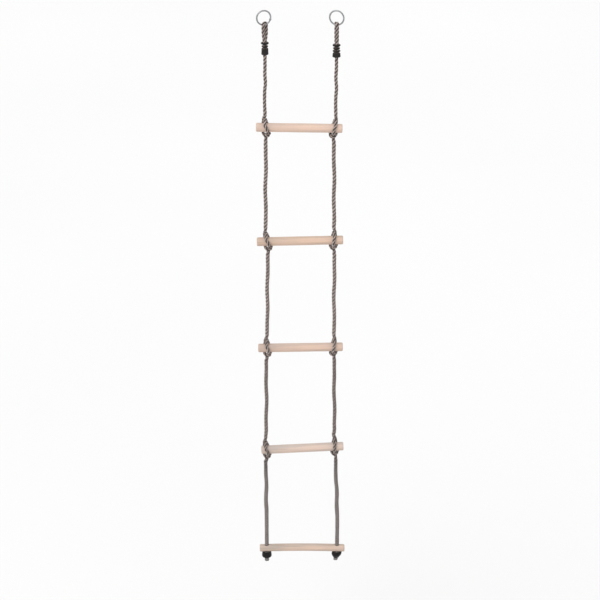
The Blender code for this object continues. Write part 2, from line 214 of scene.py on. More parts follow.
class Rung:
    """A rung's place, read from its CAD node: middle, direction along it, length and radius."""

    def __init__(self, number):
        self.number = number
        self.node = f"rung_{number}"
        points = node_points(self.node)
        low, high = points[:, 0].min(), points[:, 0].max()
        left = points[points[:, 0] < low + RUNG_END_SLICE].mean(axis=0)
        right = points[points[:, 0] > high - RUNG_END_SLICE].mean(axis=0)
        self.along = Vector(right - left).normalized()
        self.middle = Vector((left + right) / 2)
        self.middle.y = 0.0
        points, along = points - np.array(self.middle), np.array(self.along)
        reach = points @ along
        self.length = reach.max() - reach.min()
        off_axis = points - reach[:, None] * along
        self.radius = np.linalg.norm(off_axis, axis=1).max()
        turn = self.along.to_track_quat("X", "Z").to_matrix().to_4x4()
        self.matrix = Matrix.Translation(self.middle) @ turn


RUNGS = [Rung(number) for number in range(1, RUNG_COUNT + 1)]
HITCH_ENDS = {
    (side, number): (end_x(f"hitch_{number}_{side}", True), end_x(f"hitch_{number}_{side}", False))
    for side in SIDES
    for number in range(1, RUNG_COUNT)
}
RING_X = float(node_middle("ring_right").x)
RING_LOW, RING_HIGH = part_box("ring_right")
RING_WIRE_RADIUS = float(RING_HIGH.y - RING_LOW.y) / 2 * WIRE_FULLNESS
RING_CENTRE_Z = float(RING_HIGH.z + RING_LOW.z) / 2
RING_RADIUS = float(RING_HIGH.z - RING_LOW.z) / 2 - RING_WIRE_RADIUS
SWING_Z = joint_z("ladder_swing")


# ---------------- mesh helpers
LATHE_SHARP_ANGLE = math.radians(50)
WOOD_SHARP_ANGLE = math.radians(40)
# How much of each side of a corner its rounding may take.
ROUNDING_LIMIT = 0.45


def new_object(name, verts, faces, material):
    mesh = bpy.data.meshes.new(name)
    mesh.from_pydata([tuple(map(float, v)) for v in verts], [], [tuple(map(int, f)) for f in faces])
    mesh.validate()
    mesh.update()
    thing = bpy.data.objects.new(name, mesh)
    bpy.context.scene.collection.objects.link(thing)
    mesh.materials.append(material)
    mesh.shade_smooth()
    return thing


def ring_faces(rings, sides, start=0, closed=False):
    """Quads between consecutive rings of vertices, wound to face outwards."""
    i = np.arange(rings if closed else rings - 1)[:, None]
    k = np.arange(sides)[None, :]
    a = start + i * sides + k
    b = start + i * sides + (k + 1) % sides
    up = ((i + 1) % rings) * sides
    c = start + up + (k + 1) % sides
    d = start + up + k
    return np.stack([a, b, c, d], axis=-1).reshape(-1, 4)


def capped(rings, sides):
    """The faces of a tube with both ends closed."""
    first, last = np.arange(sides)[::-1], (rings - 1) * sides + np.arange(sides)
    return [tuple(face) for face in ring_faces(rings, sides)] + [tuple(first), tuple(last)]


def circle(radius, angles, height, shift=0.0):
    across = radius * np.cos(angles) + shift
    return np.stack([across, radius * np.sin(angles), np.full(len(angles), height)], axis=1)


def lathe(name, profile, material, sides, ripple=None, shear=0.0):
    """A closed profile of (radius, height) corners turned about Z, with a ripple by angle."""
    angles = np.arange(sides) * 2 * math.pi / sides
    verts = []
    for radius, height in profile:
        r = radius if ripple is None else radius + ripple(radius, height, angles)
        verts.append(circle(r, angles, height, -shear * height))
    faces = ring_faces(len(profile), sides, closed=True)
    thing = new_object(name, np.concatenate(verts), faces, material)
    thing.data.set_sharp_from_angle(angle=LATHE_SHARP_ANGLE)
    return thing


def rounded(profile, radius, steps=3):
    """Round every corner of a closed profile by up to the given radius."""
    out = []
    count = len(profile)
    for i, corner in enumerate(profile):
        p = np.array(corner, float)
        before = np.array(profile[i - 1], float) - p
        after = np.array(profile[(i + 1) % count], float) - p
        reach = min(radius, *(np.linalg.norm(leg) * ROUNDING_LIMIT for leg in (before, after)))
        a = p + before / np.linalg.norm(before) * reach
        b = p + after / np.linalg.norm(after) * reach
        for step in range(steps + 1):
            t = step / steps
            out.append(tuple((1 - t) ** 2 * a + 2 * t * (1 - t) * p + t * t * b))
    return out


def sizes(node):
    """A node's half width across the ladder, its height, and where its foot and top are."""
    low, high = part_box(node)
    return (high.x - low.x) / 2, high.z - low.z, low.z, high.z


def stand_for(thing, x, z, body, node):
    """Put a piece in its place, fix it to its body and hide the node it replaces."""
    thing.location = (x, 0.0, z)
    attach(thing, body)
    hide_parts(node)


# ---------------- node material helpers
NOISE_ROUGHNESS = 0.55


class Nodes:
    """A short way to add and join shader nodes."""

    def __init__(self, name):
        self.material = bpy.data.materials.new(name)
        self.material.use_nodes = True
        self.tree = self.material.node_tree
        self.place = self.add("ShaderNodeTexCoord", {})["Object"]

    def feed(self, node, inputs):
        """Join sockets to a node's inputs and set plain values in the others, by name or number."""
        for key, value in inputs.items():
            if isinstance(value, bpy.types.NodeSocket):
                self.tree.links.new(value, node.inputs[key])
            elif value is not None:
                node.inputs[key].default_value = value

    def add(self, kind, inputs, **settings):
        node = self.tree.nodes.new(kind)
        for key, value in settings.items():
            setattr(node, key, value)
        self.feed(node, inputs)
        return node.outputs

    def maths(self, operation, a, b=None):
        return self.add("ShaderNodeMath", {0: a, 1: b}, operation=operation)[0]

    def plus(self, a, b):
        return self.maths("ADD", a, b)

    def times(self, a, b):
        return self.maths("MULTIPLY", a, b)

    def hypot(self, a, b):
        return self.maths("SQRT", self.plus(self.times(a, a), self.times(b, b)))

    def mix(self, share, a, b, blend="MIX"):
        a, b = ((*c, 1.0) if isinstance(c, tuple) else c for c in (a, b))
        inputs = {0: share, 6: a, 7: b}
        return self.add("ShaderNodeMix", inputs, data_type="RGBA", blend_type=blend)[2]

    def shade(self, colour, by, share=1.0):
        return self.mix(share, colour, by, "MULTIPLY")

    def ramp(self, value, *stops):
        node = self.tree.nodes.new("ShaderNodeValToRGB")
        elements = node.color_ramp.elements
        while len(elements) < len(stops):
            elements.new(0.5)
        for element, (place, colour) in zip(elements, stops):
            element.position = place
            element.color = (*colour, 1.0)
        self.feed(node, {0: value})
        return node.outputs[0]

    def grey(self, value, *stops):
        return self.ramp(value, *[(place, (v, v, v)) for place, v in stops])

    def noise(self, vector, scale, detail):
        inputs = {"Vector": vector, "Scale": scale, "Detail": detail, "Roughness": NOISE_ROUGHNESS}
        return self.add("ShaderNodeTexNoise", inputs)["Fac"]

    def stretched(self, vector, scale):
        return self.add("ShaderNodeMapping", {"Vector": vector, "Scale": scale})["Vector"]

    def axes(self, vector):
        return self.add("ShaderNodeSeparateXYZ", {0: vector})

    def bump(self, height, distance, strength, before=None):
        inputs = {"Height": height, "Distance": distance, "Strength": strength, "Normal": before}
        return self.add("ShaderNodeBump", inputs)["Normal"]

    def finish(self, colour, roughness, normal=None, shine=None, **values):
        inputs = {"Base Color": colour, "Roughness": roughness, "Normal": normal, **values}
        inputs["Specular IOR Level"] = shine
        self.feed(self.tree.nodes["Principled BSDF"], inputs)
        return self.material


# ---------------- materials
# Noise scales are per metre, bump depths in metres, and colours linear.
FINE_YARNS = 12.0
FINE_YARN_SLANT = 42.0
PLASTIC_SHINE = 0.20
# Growth rings per metre, and how far they wander.
GROWTH_RINGS = 300.0
RING_WANDER = 0.012


def rope_material(name, painted_groove_darkness, tone):
    """Grey-brown twisted yarn: pale on the crown of each strand, with painted shade darkening it towards
    the grooves.
    """
    n = Nodes(name)
    around = n.add("ShaderNodeUVMap", {}, uv_map="StrandUV")[0]
    turn, length = n.axes(around)[:2]
    # Fine yarns run round the strand as they go along it: a slanted wave of both coordinates.
    slant = n.plus(n.times(turn, FINE_YARNS), n.times(length, FINE_YARN_SLANT))
    yarn = n.maths("SINE", n.times(n.maths("FRACT", slant), math.pi))
    crown = n.maths("COSINE", n.times(turn, 2 * math.pi))
    mottle = n.noise(n.stretched(n.place, (1.0, 1.0, 0.35)), 420.0, 5.0)
    drift = n.noise(n.place, 14.0, 2.0)
    fibre = n.noise(n.stretched(around, (30.0, 900.0, 1.0)), 1.0, 3.0)
    body = n.ramp(
        mottle,
        (0.28, (0.200, 0.150, 0.132)),
        (0.50, (0.430, 0.342, 0.308)),
        (0.72, (0.680, 0.575, 0.525)),
    )
    # Painted shade: the colour darkens from each strand's crown towards the grooves between strands, where
    # shade falls.
    outward = n.plus(n.times(crown, 0.5), 0.5)
    painted_groove_shade = n.grey(outward, (0.58, painted_groove_darkness), (0.83, 0.5 + painted_groove_darkness / 2), (0.98, 1.0))
    yarn_shade = n.grey(yarn, (0.05, 0.55), (0.55, 1.0))
    colour = n.shade(body, painted_groove_shade)
    colour = n.shade(colour, yarn_shade, 0.8)
    colour = n.shade(colour, n.grey(drift, (0.35, 0.78), (0.65, 1.15)), 0.35)
    colour = n.shade(colour, tone)
    normal = n.bump(yarn, 0.0005, 0.9)
    normal = n.bump(fibre, 0.00025, 0.6, normal)
    normal = n.bump(mottle, 0.0003, 0.4, normal)
    return n.finish(colour, 0.88, normal, 0.18, **{"Sheen Weight": 0.12})


def tip_material():
    """The melted end of the rope: dark grey, dull, a little blistered."""
    n = Nodes("sealed_rope")
    coarse = n.noise(n.place, 240.0, 4.0)
    streak = n.noise(n.stretched(n.place, (500.0, 500.0, 60.0)), 1.0, 3.0)
    colour = n.ramp(coarse, (0.3, (0.085, 0.080, 0.078)), (0.7, (0.280, 0.265, 0.255)))
    colour = n.shade(colour, n.grey(streak, (0.3, 0.6), (0.7, 1.2)), 0.35)
    normal = n.bump(coarse, 0.0006, 0.7)
    normal = n.bump(streak, 0.0003, 0.6, normal)
    return n.finish(colour, n.grey(coarse, (0.3, 0.42), (0.7, 0.68)), normal)


def pine_material(name, tint, pith):
    """Turned pine: growth rings round a pith line beside the bar, so they run lengthwise outside."""
    n = Nodes(name)
    wander = n.noise(n.stretched(n.place, (2.2, 9.0, 9.0)), 1.0, 3.0)
    y, z = n.axes(n.place)[1:3]
    reach = n.hypot(n.plus(y, pith[0]), n.plus(z, pith[1]))
    reach = n.plus(reach, n.times(wander, RING_WANDER))
    rings = n.maths("FRACT", n.times(reach, GROWTH_RINGS))
    fine = n.noise(n.stretched(n.place, (26.0, 1500.0, 1500.0)), 1.0, 3.0)
    streak = n.noise(n.stretched(n.place, (7.0, 260.0, 260.0)), 1.0, 4.0)
    cloud = n.noise(n.stretched(n.place, (5.0, 26.0, 26.0)), 1.0, 2.0)
    early, late = tint
    late_share = n.grey(rings, (0.0, 0.05), (0.62, 0.30), (0.90, 0.85), (1.0, 0.05))
    colour = n.mix(late_share, early, late)
    colour = n.mix(n.grey(streak, (0.42, 0.0), (0.70, 0.42)), colour, (0.80, 0.56, 0.40))
    colour = n.mix(n.grey(cloud, (0.45, 0.0), (0.70, 0.30)), colour, (0.88, 0.60, 0.47))
    colour = n.shade(colour, n.grey(fine, (0.3, 0.75), (0.7, 1.12)), 0.16)
    normal = n.bump(fine, 0.00010, 0.5)
    normal = n.bump(streak, 0.00018, 0.4, normal)
    roughness = n.grey(fine, (0.3, 0.50), (0.7, 0.66))
    return n.finish(colour, roughness, normal, 0.35)


def steel_material():
    """Zinc-plated wire, a little dulled, with cloudy patches and a fine grain."""
    n = Nodes("galvanised_steel")
    cloud = n.noise(n.place, 130.0, 3.0)
    grain = n.noise(n.place, 1400.0, 3.0)
    colour = n.ramp(cloud, (0.35, (0.24, 0.25, 0.26)), (0.65, (0.40, 0.40, 0.41)))
    roughness = n.grey(cloud, (0.3, 0.40), (0.7, 0.56))
    return n.finish(colour, roughness, n.bump(grain, 0.00006, 0.6), Metallic=0.92)


def plastic_finish(n, colour, roughness):
    """The fine grain and low shine that all the moulded parts share."""
    grain = n.noise(n.place, 1500.0, 2.0)
    return n.finish(colour, roughness, n.bump(grain, 0.00008, 0.5), PLASTIC_SHINE)


def plastic_material(name, dark, pale, roughness):
    """Moulded plastic with a fine texture, greyer where it is rubbed."""
    n = Nodes(name)
    cloud = n.noise(n.place, 90.0, 3.0)
    edges = n.add("ShaderNodeNewGeometry", {})["Pointiness"]
    wear = n.times(n.grey(edges, (0.50, 0.0), (0.60, 1.0)), 0.35)
    colour = n.mix(n.grey(cloud, (0.4, 0.0), (0.7, 0.5)), dark, pale)
    colour = n.mix(wear, colour, tuple(2 * part for part in pale))
    rough = n.plus(n.times(cloud, 0.18), roughness)
    return plastic_finish(n, colour, rough)


def clamp_material():
    """The clamp's black plastic, painted brown on the necks where they sit back between the ribs."""
    n = Nodes("clamp_black_plastic")
    cloud = n.noise(n.place, 160.0, 3.0)
    reach = n.hypot(*n.axes(n.place)[:2])
    neck = n.grey(reach, (NECK_DEPTH + 0.0002, 1.0), (NECK_DEPTH + 0.0009, 0.0))
    dark, pale = (0.008, 0.007, 0.006), (0.026, 0.023, 0.021)
    black = n.mix(n.grey(cloud, (0.4, 0.0), (0.7, 0.6)), dark, pale)
    brown = n.ramp(cloud, (0.35, (0.060, 0.043, 0.036)), (0.65, (0.150, 0.115, 0.100)))
    return plastic_finish(n, n.mix(neck, black, brown), 0.5)


PINE_TINTS = (
    ((0.592, 0.468, 0.402), (0.461, 0.325, 0.256)),
    ((0.514, 0.397, 0.322), (0.393, 0.271, 0.204)),
    ((0.494, 0.393, 0.339), (0.377, 0.269, 0.216)),
    ((0.469, 0.407, 0.372), (0.406, 0.336, 0.299)),
    ((0.407, 0.341, 0.297), (0.349, 0.280, 0.233)),
)
PITHS = ((0.03, 0.05), (-0.045, 0.035), (0.02, -0.06), (0.055, -0.02), (-0.012, 0.034))
PINES = [pine_material(f"pine_{i + 1}", PINE_TINTS[i], PITHS[i]) for i in range(RUNG_COUNT)]
# The second argument is how dark the painted shade in the grooves between strands goes.
ROPE = rope_material("rope", 0.05, (0.98, 0.99, 1.0))
# The ropes get darker in the last two spans.
LOWER_ROPES = {
    3: rope_material("lower_rope", 0.05, (0.80, 0.81, 0.81)),
    4: rope_material("lowest_rope", 0.02, (0.60, 0.65, 0.67)),
}
TIP = tip_material()
STEEL = steel_material()
BLACK = plastic_material("black_plastic", (0.014, 0.012, 0.011), (0.036, 0.032, 0.029), 0.40)
CLAMP_BLACK = clamp_material()
CAP_BLACK = plastic_material("cap_black_plastic", (0.004, 0.003, 0.003), (0.010, 0.009, 0.009), 0.36)
GREY = plastic_material("grey_plastic", (0.10, 0.10, 0.10), (0.17, 0.17, 0.17), 0.42)


# ---------------- the way each rope runs
def catmull_rom(corners, step):
    """A dense centripetal Catmull-Rom line through corners."""
    corners = np.asarray(corners, float)
    line = np.vstack([2 * corners[0] - corners[1], corners, 2 * corners[-1] - corners[-2]])
    out = []
    for i in range(1, len(line) - 2):
        p = line[i - 1 : i + 3]
        gaps = np.sqrt(np.maximum(np.linalg.norm(np.diff(p, axis=0), axis=1), 1e-9))
        t = np.concatenate([[0.0], np.cumsum(gaps)])
        count = max(2, int(math.ceil(gaps[1] ** 2 / step)))
        u = np.linspace(t[1], t[2], count, endpoint=False)[:, None]
        a = [((t[k + 1] - u) * p[k] + (u - t[k]) * p[k + 1]) / (t[k + 1] - t[k]) for k in range(3)]
        b = [((t[k + 2] - u) * a[k] + (u - t[k]) * a[k + 1]) / (t[k + 2] - t[k]) for k in range(2)]
        out.append(((t[2] - u) * b[0] + (u - t[1]) * b[1]) / (t[2] - t[1]))
    return np.vstack([*out, corners[-1:]])


def even_steps(line, step):
    """The same line with its points a constant distance apart."""
    gaps = np.linalg.norm(np.diff(line, axis=0), axis=1)
    run = np.concatenate([[0.0], np.cumsum(gaps)])
    places = np.linspace(0.0, run[-1], int(round(run[-1] / step)) + 1)
    return np.stack([np.interp(places, run, values) for values in line.T], axis=1)


# One rope's way round a rung, in the left rope's frame: +X inwards, -Y front, from the rung's middle.
# Down behind the rung on the outer side, forward under it as an arch, up behind on the inner side,
# over the top and down across the front, then through behind the arch.
HITCH_TURNS = (
    (0.0, 0.0004, 0.048), (-0.0012, 0.004, 0.0395), (-0.006, 0.0118, 0.03),
    (-0.008, 0.018, 0.0185), (-0.0084, 0.0208, 0.005), (-0.009, 0.0204, -0.0075),
    (-0.0082, 0.015, -0.018), (-0.0064, 0.006, -0.0226), (-0.0036, -0.004, -0.024),
    (0.0014, -0.0095, -0.0266), (0.0078, -0.0075, -0.0274), (0.0126, 0.0006, -0.0244),
    (0.0134, 0.0112, -0.0184), (0.011, 0.0198, -0.0065), (0.0066, 0.0206, 0.0055),
    (0.0028, 0.018, 0.0165), (0.0014, 0.0096, 0.0256), (0.0006, -0.0012, 0.028),
    (-0.0004, -0.0115, 0.0218), (-0.0008, -0.0172, 0.0124), (0.003, -0.0201, 0.0062),
    (0.0062, -0.0208, -0.001), (0.007, -0.0202, -0.0058), (0.0068, -0.0158, -0.0142),
    (0.0048, -0.007, -0.02), (0.0028, 0.001, -0.0252), (0.0018, 0.001, -0.037),
)
# The legs behind the rung and across its front, as corners, and how each side stretches them across.
UPPER_LEG = slice(1, 6)
FRONT_LEG = slice(20, 25)
UPPER_LEG_SPREADS = {"left": 0.8, "right": 0.5}
FRONT_LEG_SLANTS = {"left": 1.15, "right": 0.35}


def eye_corners(side):
    """From the short leg's end inside the clamp, up round the ring and down to the single rope."""
    yaw = math.radians(EYE_YAWS_DEG[side])
    mouth_yaw = math.radians(MOUTH_YAWS_DEG[side])
    across = np.array([math.sin(yaw), math.cos(yaw), 0.0])
    apart = np.array([math.sin(mouth_yaw), math.cos(mouth_yaw), 0.0]) * LEG_OFFSET
    up = np.array([0.0, 0.0, 1.0])
    wire = np.array([clamp_x(side), 0.0, SWING_Z])
    reach = RING_WIRE_RADIUS + EYE_ROPE_RADIUS + EYE_SLACK
    radius = reach / math.cos(yaw)
    centre = wire + up * (reach - radius)
    mouth = np.array([wire[0], 0.0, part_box(f"clamp_body_{side}")[1].z])
    middle = (mouth + centre) / 2
    spread = (LEG_OFFSET + radius) * EYE_FULLNESS
    corners = [mouth - apart - up * LEG_DEPTH, mouth - apart, middle - across * spread]
    for i in range(EYE_ARC_STEPS + 1):
        angle = math.pi * (1 - i / EYE_ARC_STEPS)
        corners.append(centre + across * radius * math.cos(angle) + up * radius * math.sin(angle))
    corners += [middle + across * spread, mouth + apart, mouth + apart - up * LEG_DEPTH]
    corners += [mouth - up * LEG_MERGE_DEPTH, mouth - up * (LEG_MERGE_DEPTH + LEG_STRAIGHT)]
    return corners, mouth


def hitch_corners(number, side):
    """The hitch's corners round a rung, turned with the rung's lean."""
    rung = RUNGS[number - 1]
    share = np.ones(len(HITCH_TURNS))
    share[UPPER_LEG] = UPPER_LEG_SPREADS[side]
    share[FRONT_LEG] = FRONT_LEG_SLANTS[side]
    corners = []
    for i, (inwards, back, up) in enumerate(HITCH_TURNS):
        across = rope_x(side, number, up) - SIDES[side] * inwards * share[i] - rung.middle.x
        corners.append(np.array(rung.matrix @ Vector((across, back, up))))
    return corners


def clear_of_wood(line):
    """The line with every point near a rung pushed out until the rope rests on the wood."""
    line = line.copy()
    for rung in RUNGS[:-1]:
        along, middle = np.array(rung.along), np.array(rung.middle)
        near = np.abs(line[:, 2] - middle[2]) < HITCH_REACH
        place = line[near] - middle
        reach = (place @ along)[:, None] * along
        out = place - reach
        distance = np.linalg.norm(out, axis=1)[:, None]
        least = rung.radius + HITCH_ROPE_RADIUS * HITCH_PRESS
        line[near] = middle + reach + out * np.maximum(distance, least) / distance
    return line


def wavy(start, end, side, phase):
    """Points down a free length of rope that wanders a little sideways, straight at both ends."""
    sign = SIDES[side]
    count = max(3, int((start[2] - end[2]) / WAVE_CORNERS))
    points = []
    for i in range(1, count):
        t = i / count
        wave = math.sin(2 * math.pi * WAVE_COUNT * t + phase)
        size = WAVE_SIZE * math.sin(math.pi * t) * wave
        point = start + (end - start) * t
        points.append(point + np.array([size * sign, 0.0, 0.0]))
    return points


def rope_line(side):
    """The whole rope's centre line from the top down, evenly stepped, with the clamp's height."""
    corners, mouth = eye_corners(side)
    corners.append(np.array([mouth[0], 0.0, mouth[2] - LEG_MERGE_DEPTH - CLAMP_LEAD]))
    phase = WAVE_STARTS[side]
    for number in range(1, RUNG_COUNT):
        start = corners[-1]
        end = np.array([rope_x(side, number), 0.0, neck_above(number) + NECK_STRAIGHT])
        corners += wavy(start, end, side, phase)
        corners.append(end)
        corners += hitch_corners(number, side)
        x = rope_x(side, number, -HITCH_REACH)
        corners.append(np.array([x, 0.0, neck_below(number) + NECK_STRAIGHT]))
        corners.append(np.array([x, 0.0, neck_below(number) - NECK_STRAIGHT]))
        phase += WAVE_SHIFT
    x = tail_x(side)
    start = corners[-1]
    top_of_rung = RUNGS[-1].middle.z + RUNGS[-1].radius
    end = np.array([x, 0.0, top_of_rung + SLIDE_LENGTH])
    corners += wavy(start, end, side, phase)
    corners.append(end)
    corners.append(np.array([x, 0.0, top_of_rung]))
    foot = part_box(f"tail_rope_{side}")[0].z
    corners.append(np.array([x, 0.0, foot]))
    line = even_steps(clear_of_wood(catmull_rom(corners, ROPE_STEP)), ROPE_STEP)
    return line, mouth[2]


def rope_frames(line):
    """A pair of side directions at each step that don't spin as they go."""
    tangent = np.gradient(line, axis=0)
    tangent /= np.linalg.norm(tangent, axis=1)[:, None]
    side = np.zeros_like(line)
    first = np.cross(tangent[0], [0.3, 1.0, 0.2])
    side[0] = first / np.linalg.norm(first)
    for i in range(1, len(line)):
        carried = side[i - 1] - tangent[i] * (side[i - 1] @ tangent[i])
        side[i] = carried / np.linalg.norm(carried)
    return side, np.cross(tangent, side)


def fade(distance, length):
    """From 0 to 1 over a length."""
    return np.clip(distance / length, 0.0, 1.0)


def rope_radius(line, clamp_top):
    """The rope's radius at each step: fuller further down, thinner wherever something holds it."""
    height = line[:, 2]
    radius = TOP_ROPE_RADIUS + (SPAN_ROPE_RADIUS - TOP_ROPE_RADIUS) * fade(neck_above(1) - height, TOP_FADE)
    lowest = fade(neck_below(RUNG_COUNT - 1) - height, LOWEST_FADE)
    radius = radius + (LOWEST_ROPE_RADIUS - SPAN_ROPE_RADIUS) * lowest
    middle = RUNGS[-1].middle.z
    held = [
        (HITCH_ROPE_RADIUS, fade(HITCH_REACH - np.abs(height - rung.middle.z), HITCH_FADE))
        for rung in RUNGS[:-1]
    ]
    held.append((SLIDE_ROPE_RADIUS, fade(middle + SLIDE_LENGTH + SLIDE_FADE - height, SLIDE_FADE)))
    held.append((TAIL_ROPE_RADIUS, fade(middle - height, TAIL_FADE)))
    held.append((EYE_ROPE_RADIUS, np.clip((height - SWING_Z) / EYE_FADE + 1.0, 0.0, 1.0)))
    depth = clamp_top - height
    squeezed = fade(depth + CLAMP_FADES[0], CLAMP_FADES[0]) * fade(LEG_MERGE_DEPTH - depth, CLAMP_FADES[1])
    held.append((CLAMPED_ROPE_RADIUS, squeezed))
    for target, share in held:
        radius = radius + (target - radius) * share
    run = np.arange(len(line)) * ROPE_STEP
    return radius * (1 + sum(size * np.sin(run * rate + start) for size, rate, start in UNEVENNESS))


def rope_twist(line):
    """The angle the strands have turned through: open above, close in the lowest span."""
    start = neck_below(RUNG_COUNT - 1)
    lay = ROPE_LAY + (LOWEST_LAY - ROPE_LAY) * fade(start - line[:, 2], LAY_CHANGE)
    return np.concatenate([[0.0], np.cumsum(2 * math.pi * ROPE_STEP / lay[1:])])


def strand_rings(rope, first, last, strand):
    """Rings of vertices for one strand of a rope between two of its steps."""
    side, other = rope["side"], rope["other"]
    angle = rope["twist"] + strand * 2 * math.pi / STRANDS
    out = side * np.cos(angle)[:, None] + other * np.sin(angle)[:, None]
    radius = rope["radius"]
    centre = rope["line"] + out * (radius * STRAND_PLACE)[:, None]
    along = np.gradient(centre, axis=0)
    along /= np.linalg.norm(along, axis=1)[:, None]
    out = out - along * np.sum(out * along, axis=1)[:, None]
    out /= np.linalg.norm(out, axis=1)[:, None]
    across = np.cross(along, out)
    theta = np.arange(STRAND_SIDES) * 2 * math.pi / STRAND_SIDES
    run = np.arange(len(centre)) * ROPE_STEP
    yarn_turn = (run * YARN_TURN + strand)[:, None]
    ridges = 1 + YARN_RIDGE * np.cos(STRAND_YARNS * theta[None, :] - yarn_turn)
    wide = radius[:, None] * STRAND_WIDTH * ridges
    deep = radius[:, None] * STRAND_DEPTH * ridges
    rings = (
        centre[:, None, :]
        + out[:, None, :] * (deep * np.cos(theta))[:, :, None]
        + across[:, None, :] * (wide * np.sin(theta))[:, :, None]
    )
    return rings[first:last], run[first:last]


def press_on_ring(thing, side):
    """Spread the eye sideways and flatten it above the wire, as the load presses it on the ring."""
    top_of_wire = SWING_Z + RING_WIRE_RADIUS
    middle = clamp_x(side)
    for vertex in thing.data.vertices:
        rise = vertex.co.z - top_of_wire
        share = min(max(rise / EYE_PRESS_REACH + 1.0, 0.0), 1.0)
        vertex.co.x = middle + (vertex.co.x - middle) * (1 + (EYE_SPREADS[side] - 1) * share)
        if rise > 0:
            vertex.co.z = top_of_wire + rise * EYE_PRESSES[side]


def rope_mesh(name, rope, first, last, material):
    """One length of rope: three closed strands, with a coordinate round and along each."""
    verts, faces, caps, uvs = [], [], [], []
    offset = 0
    for strand in range(STRANDS):
        rings, run = strand_rings(rope, first, last, strand)
        count = len(rings)
        verts.append(rings.reshape(-1, 3))
        faces.append(ring_faces(count, STRAND_SIDES, offset))
        i = np.repeat(np.arange(count - 1), STRAND_SIDES)
        k = np.tile(np.arange(STRAND_SIDES), count - 1)
        u0, u1 = k / STRAND_SIDES, (k + 1) / STRAND_SIDES
        v0, v1 = run[i] * UV_PER_METRE, run[i + 1] * UV_PER_METRE
        uvs.append(np.stack([u0, v0, u1, v0, u1, v1, u0, v1], axis=1).reshape(-1, 2))
        start_cap = offset + np.arange(STRAND_SIDES)[::-1]
        end_cap = offset + (count - 1) * STRAND_SIDES + np.arange(STRAND_SIDES)
        caps += [start_cap, end_cap]
        offset += count * STRAND_SIDES
    all_faces = [tuple(f) for f in np.concatenate(faces)] + [tuple(c) for c in caps]
    thing = new_object(name, np.concatenate(verts), all_faces, material)
    layer = thing.data.uv_layers.new(name="StrandUV")
    flat = np.zeros((len(thing.data.loops), 2), np.float32)
    body = np.concatenate(uvs)
    flat[: len(body)] = body
    layer.data.foreach_set("uv", flat.ravel())
    return thing


def rope_pieces(side):
    """A rope in lengths that meet where it stays straight, each taking in one joint.

    Each length starts one step early, where the one before it ends.
    """
    line, clamp_top = rope_line(side)
    across, other = rope_frames(line)
    rope = {"line": line, "side": across, "other": other}
    rope["radius"], rope["twist"] = rope_radius(line, clamp_top), rope_twist(line)

    first = 0

    def step_at(height):
        """The last step above a height on the way down, below the eye."""
        return int(np.nonzero(line[:, 2] > height)[0][-1]) + 1

    def next_piece(name, last, material):
        nonlocal first
        piece = rope_mesh(f"rope_{name}_{side}", rope, max(first - 1, 0), last, material)
        first = last
        return piece

    def bend(thing, upper, lower, height, reach, *nodes):
        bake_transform(thing)
        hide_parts(*[f"{node}_{side}" for node in nodes])

    top = next_piece("top", step_at(neck_below(1) + NECK_BLEND), ROPE)
    press_on_ring(top, side)
    bend(top, "top_ropes", "rung_1", neck_above(1), NECK_BLEND, "top_rope", "hitch_1")
    for number in range(1, RUNG_COUNT):
        upper, lower = f"span_{number}_upper", f"span_{number}_lower"
        neck, fold, next_neck = neck_below(number), fold_height(number), neck_above(number + 1)
        material = LOWER_ROPES.get(number, ROPE)
        foot = step_at((neck - NECK_BLEND + fold + FOLD_BLEND) / 2)
        piece = next_piece(f"{number}_leaving", foot, material)
        bend(piece, f"rung_{number}", upper, neck, NECK_BLEND, upper)
        foot = step_at((fold - FOLD_BLEND + next_neck + NECK_BLEND) / 2)
        piece = next_piece(f"{number}_middle", foot, material)
        bend(piece, upper, lower, fold, FOLD_BLEND, f"span_{number}_bend")
        if number == RUNG_COUNT - 1:
            foot, below, end = len(line), "rope_tails", "tail_rope"
        else:
            foot = step_at(neck_below(number + 1) + NECK_BLEND)
            below, end = f"rung_{number + 1}", f"hitch_{number + 1}"
        piece = next_piece(f"{number}_arriving", foot, material)
        bend(piece, lower, below, next_neck, NECK_BLEND, lower, end)


# ---------------- rings
RING_STEPS, WIRE_SIDES = 160, 24
RING_OVAL = 0.008
# The butt weld: its bead as a share of the wire, by side, and the dips beside it. Angles in radians.
WELD_SIZES = {"left": 0.62, "right": 0.40}
WELD_PLACES_DEG = {"left": -18.0, "right": 157.0}
WELD_WIDTH = 0.085
DIP_SIZE, DIP_PLACE, DIP_SPREAD = 0.08, 0.16, 0.002
RING_YAWS_DEG = {"left": 20.0, "right": -17.0}


def steel_ring(side):
    """A welded wire ring, turned a little from the front, with the bead of its butt weld."""
    theta = np.arange(RING_STEPS) * 2 * math.pi / RING_STEPS
    gap = np.angle(np.exp(1j * (theta - math.radians(WELD_PLACES_DEG[side]))))
    bead = WELD_SIZES[side] * np.exp(-((gap / WELD_WIDTH) ** 2))
    dips = DIP_SIZE * np.exp(-((np.abs(gap) - DIP_PLACE) ** 2) / DIP_SPREAD)
    wire = RING_WIRE_RADIUS * (1 + (bead - dips))
    ring_radius = RING_RADIUS * (1 + RING_OVAL * np.cos(2 * theta + 0.7))
    phi = np.arange(WIRE_SIDES) * 2 * math.pi / WIRE_SIDES
    reach = ring_radius[:, None] + wire[:, None] * np.cos(phi)[None, :]
    across, up = reach * np.cos(theta)[:, None], reach * np.sin(theta)[:, None]
    verts = np.stack([across, wire[:, None] * np.sin(phi)[None, :], up], axis=-1).reshape(-1, 3)
    faces = ring_faces(RING_STEPS, WIRE_SIDES, closed=True)
    ring = new_object(f"steel_ring_{side}", verts, faces, STEEL)
    ring.rotation_euler.z = math.radians(RING_YAWS_DEG[side])
    stand_for(ring, SIDES[side] * RING_X, RING_CENTRE_Z, "rings", f"ring_{side}")


